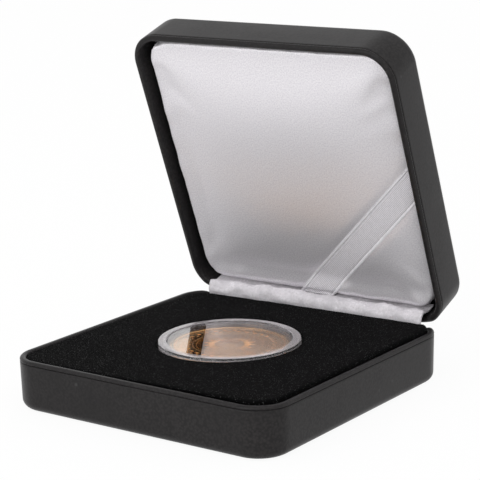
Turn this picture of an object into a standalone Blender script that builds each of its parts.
"""Coin display case: a leatherette clamshell on two snap hinges, with a satin lid pad and a capsuled coin.

Lengths are in metres and angles in degrees. X is the case's width, Y runs from its front to its hinge side
and Z is up. The origin is the middle of the underside. Both halves are modelled in a frame of their own, with
the plate at the bottom and the rim on top. The lid's frame is turned over onto the base and swung open.
"""

import math
from typing import NamedTuple

import bmesh
import bpy

# Case
CASE_WIDTH = 0.0900
CASE_DEPTH = 0.0900
BASE_HEIGHT = 0.0148
LID_HEIGHT = 0.0143
CORNER_RADIUS = 0.0097
EDGE_RADIUS = 0.0026
WALL_DRAFT = 1.2
RIM_GAP = 0.0003
OPEN_ANGLE = 70.0

# Leatherette over a steel pan
LEATHER_THICKNESS = 0.0006
STEEL_THICKNESS = 0.0005
LAYER_GAP = 0.0001
TURN_IN_DEPTH = 0.0080
RIM_ROUND = 0.0008
GROOVE_DEPTH = 0.00025
GROOVE_WIDTH = 0.0006
GROOVE_DROP = 0.0011
BACK_DIP = 0.0010
DIP_START_SHARE = 0.50
DIP_END_SHARE = 0.83

# Base insert
INSERT_SIDE_GAP = 0.00035
VELVET_THICKNESS = 0.0006
VELVET_DROP = 0.0003
VELVET_SKIRT = 0.0040
VELVET_EDGE_ROUND = 0.0010
BOARD_THICKNESS = 0.0010
FOAM_EDGE = 0.0014
MOUTH_ROUND = 0.0008

# Lid pad
PAD_SIDE_GAP = 0.0008
SATIN_THICKNESS = 0.0003
PAD_DROP = 0.0016
PAD_CROWN = 0.0010
PAD_SHOULDER_RISE = 0.0014
PAD_SHOULDER_WIDTH = 0.0024
PAD_DRAW_IN = 0.0006
LID_BOARD_THICKNESS = 0.0010
PAD_CORNER_SHARE = 0.3
SHOULDER_SHARES = (0.0, 0.05, 0.18, 0.42, 1.0)
CROWN_SHARES = (0.22, 0.45, 0.75)

# Ribbon across the pad's corner
RIBBON_WIDTH = 0.0085
RIBBON_THICKNESS = 0.00025
RIBBON_CORNER_SPAN = 0.0431
RIBBON_TUCK = 0.0030
RIBBON_SHARES = (0.50, 0.87)

# Hinges
HINGE_INSET = 0.0010
HINGE_WIDTH = 0.0240
HINGE_SIDE_SPACE = 0.0120
KNUCKLE_WIDTH = 0.0114
KNUCKLE_GAP = 0.0003
SHEET_THICKNESS = 0.0004
BARREL_RADIUS = 0.0009
PIN_CLEARANCE = 0.00007
PIN_OVERHANG = 0.0002
LEAF_LENGTH = 0.0086
ROLL_ANGLE = 288.0
CAM_FLAT_DEPTH = 0.0001
CAM_FLAT_LENGTH = 0.0010
SPRING_THICKNESS = 0.0003
SPRING_WIDTH = 0.0210
SPRING_HEIGHT = 0.0040
TONGUE_WIDTH = 0.0080
TONGUE_RISE = 0.0006
TONGUE_ROUND = 0.0012
RIVET_SPACING = 0.0160
RIVET_DROP = 0.0055
RIVET_RADIUS = 0.0007
RIVET_HEAD_RADIUS = 0.0014
RIVET_HEAD_HEIGHT = 0.0005

# Hinge cover strip
STRIP_END_SPACE = 0.0067
STRIP_THICKNESS = 0.0004
STRIP_GAP = 0.0002
STRIP_TUCK = 0.0065
STRIP_BEND = 0.0018
STRIP_SIDE_GAP = 0.0003

# Capsule and coin
COIN_RADIUS = 0.0175
COIN_THICKNESS = 0.0026
COIN_RIM_WIDTH = 0.0012
COIN_RIM_RISE = 0.00015
CAPSULE_THICKNESS = 0.0064
CAPSULE_PROUD = 0.0012
CAPSULE_GAP = 0.0003
CAPSULE_WALL = 0.0014
CAPSULE_PLATE = 0.0012
CAPSULE_RING = 0.0010
CAPSULE_RING_GAP = 0.00045
CAPSULE_STEP = 0.00025
CAPSULE_STEP_INSET = 0.0024
CAPSULE_EDGE = 0.0005
COIN_SIDE_GAP = 0.00015

# Fineness of the round shapes
CORNER_STEPS = 6
EDGE_STEPS = 4
ROUND_STEPS = 3
TURNED_STEPS = 40
SMALL_STEPS = 12
ROLL_STEP = 18.0
MERGE = 0.00001
OVERRUN = 0.0020
SMOOTH_ANGLE = 35.0

# Sizes worked out from those above
WALL = 2 * LEATHER_THICKNESS + 2 * LAYER_GAP + STEEL_THICKNESS
STEEL_OUTER = LEATHER_THICKNESS + LAYER_GAP
STEEL_INNER = STEEL_OUTER + STEEL_THICKNESS
DRAFT = math.tan(math.radians(WALL_DRAFT))
HINGE_Y = CASE_DEPTH / 2 - HINGE_INSET
HALF_GAP = RIM_GAP / 2
STRIP_INNER = BARREL_RADIUS + SPRING_THICKNESS + 2 * LAYER_GAP + RIVET_HEAD_HEIGHT + STRIP_GAP
STRIP_OUTER = STRIP_INNER + STRIP_THICKNESS
INSERT_HALF = CASE_WIDTH / 2 - WALL - INSERT_SIDE_GAP
INSERT_FRONT = -(CASE_DEPTH / 2 - WALL - INSERT_SIDE_GAP)
INSERT_BACK = HINGE_Y - STRIP_OUTER - STRIP_SIDE_GAP
VELVET_TOP = BASE_HEIGHT - VELVET_DROP
BOARD_TOP = VELVET_TOP - VELVET_THICKNESS - LAYER_GAP
FOAM_TOP = BOARD_TOP - BOARD_THICKNESS - LAYER_GAP
CAPSULE_RADIUS = COIN_RADIUS + COIN_SIDE_GAP + CAPSULE_RING + CAPSULE_RING_GAP + CAPSULE_WALL
CAPSULE_BOTTOM = BASE_HEIGHT + CAPSULE_PROUD - CAPSULE_THICKNESS
RECESS_FLOOR = CAPSULE_BOTTOM - CAPSULE_GAP
RECESS_RADIUS = CAPSULE_RADIUS + CAPSULE_GAP
CUP_RADIUS = RECESS_RADIUS + VELVET_THICKNESS
PAD_HALF = CASE_WIDTH / 2 - WALL - PAD_SIDE_GAP
PAD_FRONT = -(CASE_DEPTH / 2 - WALL - PAD_SIDE_GAP)
PAD_BACK = INSERT_BACK - STRIP_SIDE_GAP
PAD_CORNER = CORNER_RADIUS - WALL - PAD_SIDE_GAP
PAD_SIDE_TOP = LID_HEIGHT - PAD_DROP - PAD_CROWN - PAD_SHOULDER_RISE
SHELL_FLOOR = STEEL_INNER
PIN_RADIUS = BARREL_RADIUS - SHEET_THICKNESS - PIN_CLEARANCE


class Level(NamedTuple):
    """One corner of the wall's section: its inset from the outer face, and its height or its drop from the rim."""

    inset: float
    height: float
    from_rim: bool


def collection(name):
    """A new collection in the scene."""
    made = bpy.data.collections.new(name)
    bpy.context.scene.collection.children.link(made)
    return made


def finish(name, colour, roughness, metallic=0.0, clear=0.0):
    """A plain material of one colour."""
    made = bpy.data.materials.new(name)
    made.use_nodes = True
    shader = made.node_tree.nodes["Principled BSDF"]
    shader.inputs["Base Color"].default_value = (*colour, 1.0)
    shader.inputs["Roughness"].default_value = roughness
    shader.inputs["Metallic"].default_value = metallic
    shader.inputs["Transmission Weight"].default_value = clear
    made.diffuse_color = (*colour, 1.0)
    return made


def mesh_of(shape, name):
    """The mesh of a bmesh whose faces are turned outwards, smooth but for its sharp edges."""
    bmesh.ops.recalc_face_normals(shape, faces=shape.faces)
    mesh = bpy.data.meshes.new(name)
    shape.to_mesh(mesh)
    shape.free()
    mesh.shade_smooth()
    mesh.set_sharp_from_angle(angle=math.radians(SMOOTH_ANGLE))
    return mesh


def place(name, mesh, into, material=None, parent=None):
    """An object that shows this mesh."""
    made = bpy.data.objects.new(name, mesh)
    into.objects.link(made)
    if material is not None:
        mesh.materials.clear()
        mesh.materials.append(material)
    made.parent = parent
    return made


def helper(name, mesh, into, parent=None):
    """An object that only cuts or joins another."""
    made = place(name, mesh, into, parent=parent)
    made.hide_render = True
    made.display_type = "WIRE"
    return made


def combine(target, other, operation="DIFFERENCE"):
    """Cuts another object from this one, or joins it to this one."""
    step = target.modifiers.new(other.name, "BOOLEAN")
    step.operation = operation
    step.solver = "EXACT"
    step.object = other


def frozen(proto, name):
    """The evaluated mesh of a prototype, which is removed, for copies that share it."""
    bpy.context.view_layer.update()
    evaluated = proto.evaluated_get(bpy.context.evaluated_depsgraph_get())
    mesh = bpy.data.meshes.new_from_object(evaluated)
    mesh.name = name
    bpy.data.objects.remove(proto)
    return mesh


def turned(name, profile, steps=TURNED_STEPS):
    """A mesh that carries a profile of radius and height pairs, which a Screw modifier turns round Z."""
    mesh = bpy.data.meshes.new(name)
    points = [(radius, 0.0, height) for radius, height in profile]
    edges = [(index, index + 1) for index in range(len(points) - 1)]
    mesh.from_pydata(points, edges, [])
    return mesh, steps


def turn(target, steps):
    """Adds the Screw that turns a profile round Z."""
    screw = target.modifiers.new("turn", "SCREW")
    screw.steps = steps
    screw.render_steps = steps
    screw.use_merge_vertices = True
    screw.merge_threshold = MERGE
    screw.use_smooth_shade = True


def turned_piece(name, profile, into, material, parent=None, steps=TURNED_STEPS):
    """A turned object in the model."""
    mesh, steps = turned(name, profile, steps)
    made = place(name, mesh, into, material, parent)
    turn(made, steps)
    return made


def turned_helper(name, profile, into, parent=None, steps=TURNED_STEPS):
    """A turned object that only cuts or joins another."""
    mesh, steps = turned(name, profile, steps)
    made = helper(name, mesh, into, parent)
    turn(made, steps)
    return made


def loft(name, loops):
    """A closed mesh through loops of points that match one to one, with its first and last loops filled."""
    shape = bmesh.new()
    rows = [[shape.verts.new(point) for point in loop] for loop in loops]
    count = len(rows[0])
    for lower, upper in zip(rows, rows[1:]):
        for index in range(count):
            following = (index + 1) % count
            shape.faces.new((lower[index], lower[following], upper[following], upper[index]))
    shape.faces.new(rows[0])
    shape.faces.new(rows[-1])
    return mesh_of(shape, name)


def prism(name, outline, low, high, axis):
    """A flat outline filled and extruded from low to high along X or Y."""
    shape = bmesh.new()
    if axis == "X":
        points = [(low, first, second) for first, second in outline]
        travel = (high - low, 0.0, 0.0)
    else:
        points = [(first, low, second) for first, second in outline]
        travel = (0.0, high - low, 0.0)
    face = shape.faces.new([shape.verts.new(point) for point in points])
    grown = bmesh.ops.extrude_face_region(shape, geom=[face])
    moved = [item for item in grown["geom"] if isinstance(item, bmesh.types.BMVert)]
    bmesh.ops.translate(shape, verts=moved, vec=travel)
    return mesh_of(shape, name)


def box_mesh(name, low, high):
    """A box between two corners."""
    shape = bmesh.new()
    bmesh.ops.create_cube(shape, size=1.0)
    for vert in shape.verts:
        vert.co = [
            first if side < 0 else second for side, first, second in zip(vert.co, low, high)
        ]
    return mesh_of(shape, name)


def rounded_loop(half, front, back, radius, height):
    """A rounded rectangle's points at one height, anticlockwise from its right side."""
    corners = ((half, back, 0), (-half, back, 1), (-half, front, 2), (half, front, 3))
    points = []
    for x, y, quarter in corners:
        centre_x = x - math.copysign(radius, x)
        centre_y = y - math.copysign(radius, y)
        for step in range(CORNER_STEPS + 1):
            angle = (quarter + step / CORNER_STEPS) * math.pi / 2
            point = (centre_x + radius * math.cos(angle), centre_y + radius * math.sin(angle), height)
            points.append(point)
    return points


def dip_at(quarter, step):
    """How much lower the rim lies at this step of a corner: the two back corners lead down to the hinge side."""
    share = step / CORNER_STEPS
    if quarter == 1:
        share = 1 - share
    if quarter > 1:
        share = 0
    ramp = (share - DIP_START_SHARE) / (DIP_END_SHARE - DIP_START_SHARE)
    return BACK_DIP * min(1, max(0, ramp))


def wall_loop(level, height):
    """One loop round a pan's drafted wall, at one level of its section."""
    points = []
    for quarter in range(4):
        centre_x = (CASE_WIDTH / 2 - CORNER_RADIUS) * (1 if quarter in (0, 3) else -1)
        centre_y = (CASE_DEPTH / 2 - CORNER_RADIUS) * (1 if quarter in (0, 1) else -1)
        for step in range(CORNER_STEPS + 1):
            angle = (quarter + step / CORNER_STEPS) * math.pi / 2
            z = height - dip_at(quarter, step) - level.height if level.from_rim else level.height
            radius = CORNER_RADIUS - level.inset - (height - z) * DRAFT
            points.append((centre_x + radius * math.cos(angle), centre_y + radius * math.sin(angle), z))
    return points


def pan_face(offset, drop):
    """The levels of a pan's face at this offset inside the outer one, from its plate up to this drop."""
    radius = EDGE_RADIUS - offset
    levels = []
    for step in range(EDGE_STEPS + 1):
        angle = (1 - step / EDGE_STEPS) * math.pi / 2
        inset = EDGE_RADIUS - radius * math.cos(angle)
        levels.append(Level(inset, EDGE_RADIUS - radius * math.sin(angle), False))
    levels.append(Level(offset, drop, True))
    return levels


def rim_levels():
    """The levels of the leatherette's rim, from the groove in its outer face over the top to the inner face."""
    groove = [
        Level(0.0, GROOVE_DROP + GROOVE_WIDTH / 2, True),
        Level(GROOVE_DEPTH, GROOVE_DROP, True),
        Level(0.0, GROOVE_DROP - GROOVE_WIDTH / 2, True),
    ]
    outer = []
    for step in range(ROUND_STEPS + 1):
        angle = step / ROUND_STEPS * math.pi / 2
        inset = RIM_ROUND * (1 - math.cos(angle))
        outer.append(Level(inset, RIM_ROUND * (1 - math.sin(angle)), True))
    inner = [Level(WALL - level.inset, level.height, True) for level in reversed(outer)]
    return groove + outer + inner


def shell_mesh(name, height):
    """The steel pan inside one half."""
    outer = pan_face(STEEL_OUTER, STEEL_OUTER)
    inner = pan_face(STEEL_INNER, STEEL_OUTER)
    return loft(name, [wall_loop(level, height) for level in outer + inner[::-1]])


def wrap_mesh(name, height):
    """The leatherette over one half's pan, up its wall, over the rim and down inside it."""
    outer = pan_face(0.0, 0.0)[:-1] + rim_levels()
    hem = [
        Level(WALL, TURN_IN_DEPTH, True),
        Level(WALL - LEATHER_THICKNESS, TURN_IN_DEPTH, True),
        Level(WALL - LEATHER_THICKNESS, LEATHER_THICKNESS, True),
    ]
    lining = pan_face(LEATHER_THICKNESS, LEATHER_THICKNESS)[::-1]
    return loft(name, [wall_loop(level, height) for level in outer + hem + lining])


def hinge_centres():
    """The two hinges' places across the case."""
    centre = CASE_WIDTH / 2 - HINGE_SIDE_SPACE - HINGE_WIDTH / 2
    return (-centre, centre)


def shell_cutter(name, height, into, parent):
    """Rivet holes through the pan's back wall."""
    shape = bmesh.new()
    for centre in hinge_centres():
        for side in (-1, 1):
            drill(shape, centre + side * RIVET_SPACING / 2, height)
    return helper(name, mesh_of(shape, name), into, parent)


def drill(shape, x, height):
    """Adds a rivet hole's cylinder, which runs along Y through the back wall of a half of this height."""
    grown = bmesh.ops.create_cone(
        shape,
        cap_ends=True,
        segments=SMALL_STEPS,
        radius1=RIVET_RADIUS + LAYER_GAP,
        radius2=RIVET_RADIUS + LAYER_GAP,
        depth=2 * HINGE_INSET + 2 * OVERRUN,
    )
    for vert in grown["verts"]:
        vert.co = (x + vert.co.x, HINGE_Y + vert.co.z, height + HALF_GAP - RIVET_DROP + vert.co.y)


def window_cutter(name, height, into, parent):
    """The stretches of turned-in leatherette that are trimmed away where the hinge leaves lie on the pan."""
    outer = CASE_DEPTH / 2 - STEEL_INNER - LAYER_GAP / 2
    shape = bmesh.new()
    for centre in hinge_centres():
        low = (centre - HINGE_WIDTH / 2 - KNUCKLE_GAP, outer - WALL, height - TURN_IN_DEPTH - OVERRUN)
        high = (centre + HINGE_WIDTH / 2 + KNUCKLE_GAP, outer, height + OVERRUN)
        for vert in bmesh.ops.create_cube(shape, size=1.0)["verts"]:
            vert.co = [
                first if side < 0 else second for side, first, second in zip(vert.co, low, high)
            ]
    return helper(name, mesh_of(shape, name), into, parent)


def make_half(name, height, into, cutters, parent=None):
    """One half's steel pan and the leatherette round it."""
    steel = finish(f"{name}_steel", (0.55, 0.56, 0.57), 0.35, metallic=1.0)
    leather = finish(f"{name}_leatherette", (0.018, 0.018, 0.019), 0.42)
    shell = place(f"{name}_shell", shell_mesh(f"{name}_shell", height), into, steel, parent)
    combine(shell, shell_cutter(f"{name}_rivet_holes", height, cutters, parent))
    wrap = place(f"{name}_wrap", wrap_mesh(f"{name}_wrap", height), into, leather, parent)
    combine(wrap, window_cutter(f"{name}_hinge_windows", height, cutters, parent))


def insert_loop(inset, height):
    """A loop round the base insert."""
    radius = CORNER_RADIUS - WALL - INSERT_SIDE_GAP - inset
    return rounded_loop(INSERT_HALF - inset, INSERT_FRONT + inset, INSERT_BACK - inset, radius, height)


def velvet_mesh():
    """The velvet cover without its recess: a soft-edged sheet with a skirt all round."""
    skirt = VELVET_TOP - VELVET_SKIRT
    loops = [insert_loop(0.0, skirt)]
    for step in range(ROUND_STEPS + 1):
        angle = step / ROUND_STEPS * math.pi / 2
        inset = VELVET_EDGE_ROUND * (1 - math.cos(angle))
        loops.append(insert_loop(inset, VELVET_TOP - VELVET_EDGE_ROUND * (1 - math.sin(angle))))
    inner = [
        insert_loop(VELVET_THICKNESS, skirt),
        insert_loop(VELVET_THICKNESS, VELVET_TOP - VELVET_THICKNESS),
    ]
    return loft("base_velvet", loops[::-1] + inner)


def recess_profile():
    """The capsule's seat in the velvet, with a soft mouth."""
    profile = [(0.0, VELVET_TOP + OVERRUN), (RECESS_RADIUS + MOUTH_ROUND, VELVET_TOP + OVERRUN)]
    for step in range(ROUND_STEPS + 1):
        angle = (1 - step / ROUND_STEPS) * math.pi / 2
        radius = RECESS_RADIUS + MOUTH_ROUND * (1 - math.cos(angle))
        profile.append((radius, VELVET_TOP - MOUTH_ROUND * (1 - math.sin(angle))))
    return profile + [(RECESS_RADIUS, RECESS_FLOOR), (0.0, RECESS_FLOOR)]


def cup_profile():
    """The velvet pressed down round the recess, as a solid plug before the recess is cut."""
    top = VELVET_TOP - VELVET_THICKNESS / 2
    bottom = RECESS_FLOOR - VELVET_THICKNESS
    return [(0.0, top), (CUP_RADIUS, top), (CUP_RADIUS, bottom), (0.0, bottom)]


def pocket_profile():
    """The hole for the velvet's cup in the board and the foam."""
    radius = CUP_RADIUS + LAYER_GAP
    bottom = RECESS_FLOOR - VELVET_THICKNESS - LAYER_GAP
    return [(0.0, VELVET_TOP), (radius, VELVET_TOP), (radius, bottom), (0.0, bottom)]


def make_insert(into, cutters):
    """The velvet cover, its board and the foam under them."""
    velvet = place("base_velvet", velvet_mesh(), into, finish("velvet", (0.006, 0.006, 0.007), 0.95))
    combine(velvet, turned_helper("velvet_cup", cup_profile(), cutters), "UNION")
    combine(velvet, turned_helper("velvet_recess", recess_profile(), cutters))

    inset = VELVET_THICKNESS + LAYER_GAP
    board_loops = [insert_loop(inset, BOARD_TOP - BOARD_THICKNESS), insert_loop(inset, BOARD_TOP)]
    card = finish("base_card", (0.30, 0.29, 0.27), 0.9)
    board = place("base_board", loft("base_board", board_loops), into, card)
    combine(board, turned_helper("board_hole", pocket_profile(), cutters))

    bottom = SHELL_FLOOR + LAYER_GAP
    foam_loops = [
        insert_loop(inset + FOAM_EDGE, bottom),
        insert_loop(inset, bottom + FOAM_EDGE),
        insert_loop(inset, FOAM_TOP),
    ]
    foam = place("base_foam", loft("base_foam", foam_loops), into, finish("base_foam", (0.05, 0.05, 0.05), 0.95))
    combine(foam, turned_helper("foam_pocket", pocket_profile(), cutters))


def pad_height(inset):
    """The height of the satin at this distance in from its edge: a round shoulder and then a low crown."""
    shoulder = min(1, max(0, inset / PAD_SHOULDER_WIDTH))
    across = min(1, max(0, inset / PAD_HALF))
    rise = PAD_SHOULDER_RISE * math.sqrt(1 - (1 - shoulder) ** 2)
    return PAD_SIDE_TOP + rise + PAD_CROWN * (1 - (1 - across) ** 2)


def pad_loop(inset, height):
    """A loop round the lid pad."""
    radius = max(PAD_CORNER - inset, PAD_CORNER * PAD_CORNER_SHARE)
    return rounded_loop(PAD_HALF - inset, PAD_FRONT + inset, PAD_BACK - inset, radius, height)


def pad_insets():
    """The distances in from the edge of the loops over the pad's shoulder and crown."""
    shoulder = [share * PAD_SHOULDER_WIDTH for share in SHOULDER_SHARES]
    return shoulder + [share * PAD_HALF for share in CROWN_SHARES]


def pad_loops(shrink, bottom):
    """The loops of the pad's surface, moved in by this much, from its drawn-in lower edge to its crown."""
    loops = [pad_loop(shrink + PAD_DRAW_IN, bottom)]
    for inset in pad_insets():
        loops.append(pad_loop(shrink + inset, pad_height(inset) - shrink))
    return loops


def make_pad(into, parent):
    """The satin-covered pad: a board, crowned foam and the satin drawn over both."""
    bottom = SHELL_FLOOR + LAYER_GAP
    foam_bottom = bottom + LID_BOARD_THICKNESS + LAYER_GAP
    inset = SATIN_THICKNESS + LAYER_GAP
    outer = pad_loops(0.0, bottom)
    inner = pad_loops(SATIN_THICKNESS, bottom)
    satin = finish("satin", (0.72, 0.71, 0.74), 0.35)
    place("lid_satin", loft("lid_satin", outer[::-1] + inner), into, satin, parent)
    foam = finish("lid_foam", (0.80, 0.79, 0.74), 0.95)
    place("lid_foam", loft("lid_foam", pad_loops(inset, foam_bottom)), into, foam, parent)
    card = finish("lid_card", (0.62, 0.60, 0.56), 0.9)
    edge = inset + PAD_DRAW_IN
    board = [pad_loop(edge, bottom), pad_loop(edge, bottom + LID_BOARD_THICKNESS)]
    place("lid_board", loft("lid_board", board), into, card, parent)


def ribbon_point(x, y):
    """The ribbon's underside over a point of the pad, folded down where the point is past the pad's edge."""
    side = PAD_HALF + LAYER_GAP
    back = PAD_BACK + LAYER_GAP
    past = max(-x - side, y - back, 0)
    inset = min(side + x, back - y)
    return (max(x, -side), min(y, back), pad_height(inset) + LAYER_GAP - past)


def ribbon_rows():
    """Pairs of points on the ribbon's two edges, from its tuck at the pad's side to the one at its back."""
    reach = RIBBON_WIDTH / math.sqrt(2)
    side = PAD_HALF + LAYER_GAP
    back = PAD_BACK + LAYER_GAP
    line = side + back - RIBBON_CORNER_SPAN
    near_side = []
    near_back = []
    for inset in ribbon_insets():
        x = inset - side
        y = back - inset
        near_side.append([(x, x + line - reach), (x, x + line + reach)])
        near_back.append([(y - line + reach, y), (y - line - reach, y)])
    x = RIBBON_CORNER_SPAN / 2 - side
    y = x + line
    middle = [(x + reach / 2, y - reach / 2), (x - reach / 2, y + reach / 2)]
    return near_side + [middle] + near_back[::-1]


def ribbon_insets():
    """The distances in from the pad's edge at which the ribbon is bent."""
    shoulder = [share * PAD_SHOULDER_WIDTH for share in SHOULDER_SHARES]
    reach = RIBBON_WIDTH / math.sqrt(2)
    crown = (RIBBON_CORNER_SPAN - reach) / 2
    return [-RIBBON_TUCK] + shoulder + [share * crown for share in RIBBON_SHARES]


def make_ribbon(into, parent):
    """The ribbon drawn across the corner of the pad and tucked down beside it."""
    shape = bmesh.new()
    rows = [[shape.verts.new(ribbon_point(x, y)) for x, y in row] for row in ribbon_rows()]
    for first, second in zip(rows, rows[1:]):
        shape.faces.new((first[0], second[0], second[1], first[1]))
    mesh = mesh_of(shape, "ribbon")
    made = place("ribbon", mesh, into, finish("ribbon", (0.78, 0.78, 0.80), 0.5), parent)
    thick = made.modifiers.new("thickness", "SOLIDIFY")
    thick.thickness = RIBBON_THICKNESS
    thick.offset = 1.0 if mesh.polygons[len(rows) // 2].normal.z > 0 else -1.0
    thick.use_even_offset = True


def sheet_outline(start, thickness, moves):
    """The outline of a bent sheet, which starts upwards at a point and follows (length, radius, turn) moves.

    A move runs straight for its length and then turns clockwise by its angle at its centreline radius.
    """
    y, z = start
    heading = 90.0
    left = []
    right = []

    def edge():
        across = math.radians(heading + 90)
        offset_y = math.cos(across) * thickness / 2
        offset_z = math.sin(across) * thickness / 2
        left.append((y + offset_y, z + offset_z))
        right.append((y - offset_y, z - offset_z))

    edge()
    for length, radius, turn_angle in moves:
        if length > 0:
            y += length * math.cos(math.radians(heading))
            z += length * math.sin(math.radians(heading))
            edge()
        steps = math.ceil(turn_angle / ROLL_STEP)
        for _ in range(steps):
            chord = 2 * radius * math.sin(math.radians(turn_angle / steps / 2))
            heading -= turn_angle / steps / 2
            y += chord * math.cos(math.radians(heading))
            z += chord * math.sin(math.radians(heading))
            heading -= turn_angle / steps / 2
            edge()
    return left + right[::-1]


def leaf_outline():
    """A hinge leaf's section round the hinge axis: a flat plate that rolls into the barrel."""
    centreline = BARREL_RADIUS - SHEET_THICKNESS / 2
    start = (-centreline, -LEAF_LENGTH)
    return sheet_outline(start, SHEET_THICKNESS, [(LEAF_LENGTH, centreline, ROLL_ANGLE)])


def leaf_mesh(name, stretches, cams, cutters):
    """A leaf whose barrel is cut away over these stretches of its width, with rivet holes and any cam flats."""
    model = bpy.context.scene.collection
    proto = place(name, prism(name, leaf_outline(), -HINGE_WIDTH / 2, HINGE_WIDTH / 2, "X"), model)
    tools = []
    depth = BARREL_RADIUS + KNUCKLE_GAP
    for index, (low, high) in enumerate(stretches):
        mesh = box_mesh(f"{name}_gap_{index}", (low, -depth - OVERRUN, -depth), (high, depth + OVERRUN, depth))
        tools.append(helper(mesh.name, mesh, cutters))
    for side in (-1, 1):
        profile = [(0.0, OVERRUN), (RIVET_RADIUS + LAYER_GAP, OVERRUN)]
        profile += [(RIVET_RADIUS + LAYER_GAP, -OVERRUN), (0.0, -OVERRUN)]
        hole = turned_helper(f"{name}_hole", profile, cutters, steps=SMALL_STEPS)
        hole.rotation_euler.x = math.pi / 2
        hole.location = (side * RIVET_SPACING / 2, 0.0, -RIVET_DROP)
        tools.append(hole)
    for angle in cams:
        face = BARREL_RADIUS - CAM_FLAT_DEPTH
        low = (-KNUCKLE_WIDTH, -face - OVERRUN / 2, -CAM_FLAT_LENGTH / 2)
        mesh = box_mesh(f"{name}_cam", low, (KNUCKLE_WIDTH, -face, CAM_FLAT_LENGTH / 2))
        flat = helper(mesh.name, mesh, cutters)
        flat.rotation_euler.x = -math.radians(angle)
        tools.append(flat)
    for tool in tools:
        combine(proto, tool)
    mesh = frozen(proto, name)
    for tool in tools:
        bpy.data.objects.remove(tool)
    return mesh


def spring_mesh(cutters):
    """The snap spring: a flat plate under the rivets, with a tongue that bears on the lid's knuckle."""
    foot = -RIVET_DROP - SPRING_HEIGHT / 2
    shelf = foot + SPRING_HEIGHT
    half = SPRING_WIDTH / 2
    tongue = TONGUE_WIDTH / 2
    outline = [(-half, foot), (half, foot), (half, shelf), (tongue, shelf)]
    outline += [(tongue, TONGUE_RISE - TONGUE_ROUND), (tongue - TONGUE_ROUND, TONGUE_RISE)]
    outline += [(TONGUE_ROUND - tongue, TONGUE_RISE), (-tongue, TONGUE_RISE - TONGUE_ROUND)]
    outline += [(-tongue, shelf), (-half, shelf)]
    back = -BARREL_RADIUS - LAYER_GAP
    mesh = prism("snap_spring", outline, back - SPRING_THICKNESS, back, "Y")
    proto = place("snap_spring", mesh, bpy.context.scene.collection)
    tools = []
    for side in (-1, 1):
        profile = [(0.0, OVERRUN), (RIVET_RADIUS + LAYER_GAP, OVERRUN)]
        profile += [(RIVET_RADIUS + LAYER_GAP, -OVERRUN), (0.0, -OVERRUN)]
        hole = turned_helper("spring_hole", profile, cutters, steps=SMALL_STEPS)
        hole.rotation_euler.x = math.pi / 2
        hole.location = (side * RIVET_SPACING / 2, 0.0, -RIVET_DROP)
        tools.append(hole)
        combine(proto, hole)
    mesh = frozen(proto, "snap_spring")
    for tool in tools:
        bpy.data.objects.remove(tool)
    return mesh


def rivet_profile(seat):
    """A rivet from its round head, which seats this far in front of the hinge axis, to the pan's outer face."""
    reach = HINGE_INSET - STEEL_OUTER - (RIVET_DROP - HALF_GAP) * DRAFT
    profile = []
    for step in range(ROUND_STEPS + 1):
        angle = step / ROUND_STEPS * math.pi / 2
        radius = RIVET_HEAD_RADIUS * math.sin(angle)
        profile.append((radius, seat + RIVET_HEAD_HEIGHT * math.cos(angle)))
    return profile + [(RIVET_RADIUS, seat), (RIVET_RADIUS, -reach), (0.0, -reach)]


def make_rivets(half_name, height, seat, into, parent):
    """The rivets of both hinges' leaves in one half."""
    steel = finish(f"{half_name}_rivet", (0.62, 0.62, 0.63), 0.3, metallic=1.0)
    mesh, steps = turned(f"{half_name}_rivet", rivet_profile(seat), SMALL_STEPS)
    sides = [centre + side * RIVET_SPACING / 2 for centre in hinge_centres() for side in (-1, 1)]
    for number, x in enumerate(sides, start=1):
        made = place(f"{half_name}_hinge_rivet_{number}", mesh, into, steel, parent)
        turn(made, steps)
        made.location = (x, HINGE_Y, height + HALF_GAP - RIVET_DROP)
        made.rotation_euler.x = math.pi / 2


def pin_profile():
    """A hinge pin with eased ends."""
    half = HINGE_WIDTH / 2 + PIN_OVERHANG
    ease = PIN_OVERHANG / 2
    profile = [(0.0, half), (PIN_RADIUS - ease, half), (PIN_RADIUS, half - ease)]
    return profile + [(radius, -z) for radius, z in reversed(profile)]


def make_hinges(into, cutters, lid):
    """Two snap hinges: a leaf in each half, a pin and a spring. The lid's frame is turned over, so X swaps."""
    steel = finish("hinge_steel", (0.60, 0.60, 0.61), 0.3, metallic=1.0)
    bright = finish("spring_steel", (0.50, 0.51, 0.53), 0.25, metallic=1.0)
    half = KNUCKLE_WIDTH / 2
    edge = HINGE_WIDTH / 2 + OVERRUN
    middle = [(-half - KNUCKLE_GAP, half + KNUCKLE_GAP)]
    base_leaf = leaf_mesh("hinge_leaf_base", middle, (), cutters)
    lid_leaf = leaf_mesh("hinge_leaf_lid", [(-edge, -half), (half, edge)], (0.0, OPEN_ANGLE), cutters)
    spring = spring_mesh(cutters)
    pin, steps = turned("hinge_pin", pin_profile(), SMALL_STEPS)
    for side, centre in zip(("left", "right"), hinge_centres()):
        axis = (centre, HINGE_Y, BASE_HEIGHT + HALF_GAP)
        place(f"hinge_base_leaf_{side}", base_leaf, into, steel).location = axis
        place(f"snap_spring_{side}", spring, into, bright).location = axis
        made = place(f"hinge_pin_{side}", pin, into, bright)
        turn(made, steps)
        made.location = axis
        made.rotation_euler.y = math.pi / 2
        leaf = place(f"hinge_lid_leaf_{side}", lid_leaf, into, steel, lid)
        leaf.location = (-centre, HINGE_Y, LID_HEIGHT + HALF_GAP)
    seat = BARREL_RADIUS + LAYER_GAP
    make_rivets("base", BASE_HEIGHT, seat + SPRING_THICKNESS + LAYER_GAP, into, None)
    make_rivets("lid", LID_HEIGHT, seat, into, lid)


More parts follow.
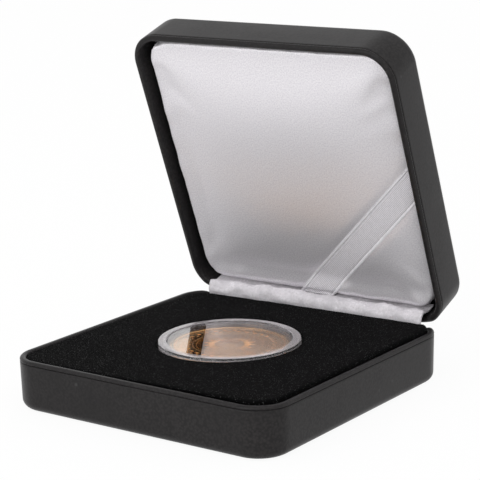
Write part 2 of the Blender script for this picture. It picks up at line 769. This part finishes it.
def make_strip(into):
    """The velvety strip that hides the hinges, as it lies with the lid open: up, round the bend and into the lid."""
    line = STRIP_INNER + STRIP_THICKNESS / 2
    meet = line * math.tan(math.radians(OPEN_ANGLE / 2))
    tangent = STRIP_BEND * math.tan(math.radians(OPEN_ANGLE / 2))
    leg = STRIP_TUCK + meet - tangent
    outline = sheet_outline((-line, -STRIP_TUCK), STRIP_THICKNESS, [(leg, STRIP_BEND, OPEN_ANGLE), (leg, 0.0, 0.0)])
    half = CASE_WIDTH / 2 - STRIP_END_SPACE
    mesh = prism("hinge_cover_strip", outline, -half, half, "X")
    made = place("hinge_cover_strip", mesh, into, finish("strip_velvet", (0.83, 0.82, 0.84), 0.9))
    made.location = (0.0, HINGE_Y, BASE_HEIGHT + HALF_GAP)


def capsule_base_profile():
    """The capsule's lower half: a plate, an outer wall and a ring that holds the coin."""
    split = (CAPSULE_THICKNESS - CAPSULE_GAP) / 2
    ring = COIN_RADIUS + COIN_SIDE_GAP
    ring_top = CAPSULE_THICKNESS - CAPSULE_PLATE - CAPSULE_GAP
    return [
        (0.0, CAPSULE_PLATE),
        (ring, CAPSULE_PLATE),
        (ring, ring_top),
        (ring + CAPSULE_RING, ring_top),
        (ring + CAPSULE_RING, CAPSULE_PLATE),
        (CAPSULE_RADIUS - CAPSULE_WALL, CAPSULE_PLATE),
        (CAPSULE_RADIUS - CAPSULE_WALL, split),
        (CAPSULE_RADIUS, split),
        (CAPSULE_RADIUS, CAPSULE_EDGE),
        (CAPSULE_RADIUS - CAPSULE_EDGE, 0.0),
        (0.0, 0.0),
    ]


def capsule_cover_profile():
    """The capsule's upper half: a raised border round its window, and a wall that meets the lower half's."""
    split = (CAPSULE_THICKNESS + CAPSULE_GAP) / 2
    underside = CAPSULE_THICKNESS - CAPSULE_PLATE
    border = CAPSULE_RADIUS - CAPSULE_STEP_INSET
    return [
        (0.0, CAPSULE_THICKNESS - CAPSULE_STEP),
        (border - CAPSULE_STEP, CAPSULE_THICKNESS - CAPSULE_STEP),
        (border, CAPSULE_THICKNESS),
        (CAPSULE_RADIUS - CAPSULE_EDGE, CAPSULE_THICKNESS),
        (CAPSULE_RADIUS, CAPSULE_THICKNESS - CAPSULE_EDGE),
        (CAPSULE_RADIUS, split),
        (CAPSULE_RADIUS - CAPSULE_WALL, split),
        (CAPSULE_RADIUS - CAPSULE_WALL, underside),
        (0.0, underside),
    ]


def coin_profile():
    """The coin's half section, with a raised border on both faces."""
    half = COIN_THICKNESS / 2
    field = half - COIN_RIM_RISE
    border = COIN_RADIUS - COIN_RIM_WIDTH
    face = [(0.0, field), (border - COIN_RIM_RISE, field), (border, half)]
    face += [(COIN_RADIUS - COIN_RIM_RISE, half), (COIN_RADIUS, field)]
    return face + [(radius, -height) for radius, height in reversed(face)]


def make_contents(into):
    """The coin in its capsule, which turns about the middle of its seat."""
    seat = bpy.data.objects.new("capsule_axis", None)
    into.objects.link(seat)
    seat.location.z = CAPSULE_BOTTOM
    clear = finish("capsule_plastic", (0.93, 0.93, 0.95), 0.06, clear=0.9)
    turned_piece("capsule_base", capsule_base_profile(), into, clear, seat)
    turned_piece("capsule_cover", capsule_cover_profile(), into, clear, seat)
    gold = finish("coin_gold", (0.72, 0.50, 0.28), 0.2, metallic=1.0)
    coin = turned_piece("coin", coin_profile(), into, gold, seat)
    coin.location.z = CAPSULE_PLATE + CAPSULE_GAP + COIN_THICKNESS / 2


def make_lid_frame(into):
    """The empties that turn the lid's frame over onto the base and swing it open about the hinge axis."""
    axis = bpy.data.objects.new("lid_hinge_axis", None)
    into.objects.link(axis)
    axis.location = (0.0, HINGE_Y, BASE_HEIGHT + HALF_GAP)
    axis.rotation_euler.x = -math.radians(OPEN_ANGLE)
    frame = bpy.data.objects.new("lid_frame", None)
    into.objects.link(frame)
    frame.parent = axis
    frame.location = (0.0, -HINGE_Y, LID_HEIGHT + HALF_GAP)
    frame.rotation_euler.y = math.pi
    return frame


def main():
    """Clears the scene and builds the case."""
    for existing in list(bpy.data.objects):
        bpy.data.objects.remove(existing)
    model = collection("coin_display_case")
    cutters = collection("cutters")
    lid = make_lid_frame(model)
    make_half("base", BASE_HEIGHT, model, cutters)
    make_half("lid", LID_HEIGHT, model, cutters, lid)
    make_insert(model, cutters)
    make_pad(model, lid)
    make_ribbon(model, lid)
    make_hinges(model, cutters, lid)
    make_strip(model)
    make_contents(model)


main()
